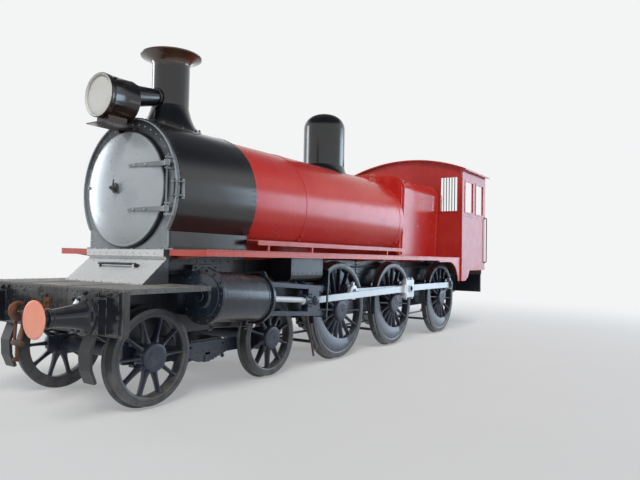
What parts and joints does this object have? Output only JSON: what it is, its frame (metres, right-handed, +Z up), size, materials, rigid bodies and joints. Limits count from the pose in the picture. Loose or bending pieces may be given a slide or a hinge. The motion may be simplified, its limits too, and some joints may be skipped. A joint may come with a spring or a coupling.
{
  "type": "steam locomotive",
  "caption": "Red and black steam locomotive for rails: leading bogie, coupled drivers, outside cylinders, smokebox with opening door, boiler and open-backed cab. No tender.",
  "frame": {"origin": "on the floor under the middle of the engine's box, at the foot of the wheel flanges", "axes": "+X forward towards the buffers, +Y to the engine's left, +Z up"},
  "size_m": [11.35, 2.92, 4.313],
  "materials": {
    "red_paint": "gloss, weathered",
    "gloss_black": "gloss",
    "frame_black": "dull, dusty",
    "wheel_black": "dull, worn",
    "silver_paint": "satin",
    "rod_paint": "satin",
    "faded_coral": "chalky",
    "rusty_iron": "rusty",
    "lamp_glass": "painted over",
    "brass_fittings": "dull"
  },
  "bodies": {
    "engine": {"main_frames": "frame_black", "axleboxes": "frame_black", "driving_springs": "frame_black", "brake_gear": "frame_black", "front_beam": "frame_black", "buffer_stocks": "gloss_black", "buffer_heads": "faded_coral", "front_coupling": "rusty_iron", "front_platform": "frame_black", "guard_irons": "frame_black", "smokebox_saddle": "silver_paint", "smokebox_shell": "gloss_black", "smokebox_front": "silver_paint", "chimney": "gloss_black", "headlight_body": "gloss_black", "headlight_lens": "lamp_glass", "headlight_shelf": "gloss_black", "boiler_barrel": "red_paint", "boiler_rails": "red_paint", "steam_dome": "gloss_black", "firebox_casing": "red_paint", "ashpan": "frame_black", "safety_valves": "red_paint", "running_boards": "red_paint", "cab_front": "red_paint", "cab_sides": "red_paint", "cab_window_bars": "frame_black", "cab_roof": "red_paint", "cab_floor": "frame_black", "backhead_fittings": "brass_fittings", "firehole_frame": "frame_black", "sandboxes": "frame_black", "drag_box": "frame_black", "cylinder_left": "frame_black", "cylinder_right": "frame_black", "slide_bars": "frame_black", "motion_brackets": "frame_black"},
    "bogie": {"bogie_frame": "frame_black"},
    "bogie_wheels_front": {"bogie_wheelset_front": "wheel_black"},
    "bogie_wheels_rear": {"bogie_wheelset_rear": "wheel_black"},
    "main_wheels": {"driving_wheelset_main": "wheel_black"},
    "leading_wheels": {"driving_wheelset_leading": "wheel_black"},
    "trailing_wheels": {"driving_wheelset_trailing": "wheel_black"},
    "coupling_rod_left": {"coupling_rod_left": "rod_paint"},
    "coupling_rod_right": {"coupling_rod_right": "rod_paint"},
    "crosshead_left": {"crosshead_left": "rod_paint"},
    "crosshead_right": {"crosshead_right": "rod_paint"},
    "connecting_rod_left": {"connecting_rod_left": "rod_paint"},
    "connecting_rod_right": {"connecting_rod_right": "rod_paint"},
    "smokebox_door": {"smokebox_door": "silver_paint"},
    "firehole_door": {"firehole_door": "frame_black"}
  },
  "joints": [
    {"name": "bogie_swivel", "type": "hinge", "parent": "engine", "child": "bogie", "pos_m": [3.315, 0, 0.558], "axis": [0, 0, 1], "range_deg": [-3, 3]},
    {"name": "bogie_front_axle", "type": "hinge", "parent": "bogie", "child": "bogie_wheels_front", "pos_m": [4.325, 0, 0.553], "axis": [0, 1, 0], "continuous": true},
    {"name": "bogie_rear_axle", "type": "hinge", "parent": "bogie", "child": "bogie_wheels_rear", "pos_m": [2.305, 0, 0.553], "axis": [0, 1, 0], "continuous": true},
    {"name": "main_axle", "type": "hinge", "parent": "engine", "child": "main_wheels", "pos_m": [-1.475, 0, 0.805], "axis": [0, 1, 0], "continuous": true},
    {"name": "leading_axle", "type": "hinge", "parent": "engine", "child": "leading_wheels", "pos_m": [0.505, 0, 0.805], "axis": [0, 1, 0], "continuous": true},
    {"name": "trailing_axle", "type": "hinge", "parent": "engine", "child": "trailing_wheels", "pos_m": [-3.915, 0, 0.805], "axis": [0, 1, 0], "continuous": true},
    {"name": "coupling_rod_left_pin", "type": "hinge", "parent": "main_wheels", "child": "coupling_rod_left", "pos_m": [-1.63398, 1.037, 1.09418], "axis": [0, 1, 0], "continuous": true},
    {"name": "crosshead_left_slide", "type": "slide", "parent": "engine", "child": "crosshead_left", "axis": [0.9973, 0, 0.0729], "range_m": [-0.1786, 0.4814]},
    {"name": "connecting_rod_left_pin", "type": "hinge", "parent": "crosshead_left", "child": "connecting_rod_left", "pos_m": [1.6154, 1.1, 1.03086], "axis": [0, 1, 0], "range_deg": [-11.12, 0.53]},
    {"name": "coupling_rod_right_pin", "type": "hinge", "parent": "main_wheels", "child": "coupling_rod_right", "pos_m": [-1.18582, -1.037, 0.96398], "axis": [0, 1, 0], "continuous": true},
    {"name": "crosshead_right_slide", "type": "slide", "parent": "engine", "child": "crosshead_right", "axis": [0.9973, 0, 0.0729], "range_m": [-0.6271, 0.0329]},
    {"name": "connecting_rod_right_pin", "type": "hinge", "parent": "crosshead_right", "child": "connecting_rod_right", "pos_m": [2.06266, -1.1, 1.06355], "axis": [0, 1, 0], "range_deg": [-8.25, 3.4]},
    {"name": "smokebox_door_hinge", "type": "hinge", "parent": "engine", "child": "smokebox_door", "pos_m": [4.12, 0.79, 2.433], "axis": [0, 0, 1], "range_deg": [0, 115]},
    {"name": "firehole_door_hinge", "type": "hinge", "parent": "engine", "child": "firehole_door", "pos_m": [-4.281, 0.251, 2.188], "axis": [0, 0, -1], "range_deg": [0, 100]}
  ],
  "couplings": [
    {"joint": "leading_axle", "follows": "main_axle", "ratio": 1},
    {"joint": "trailing_axle", "follows": "main_axle", "ratio": 1},
    {"joint": "coupling_rod_left_pin", "follows": "main_axle", "ratio": -1},
    {"joint": "coupling_rod_right_pin", "follows": "main_axle", "ratio": -1}
  ]
}
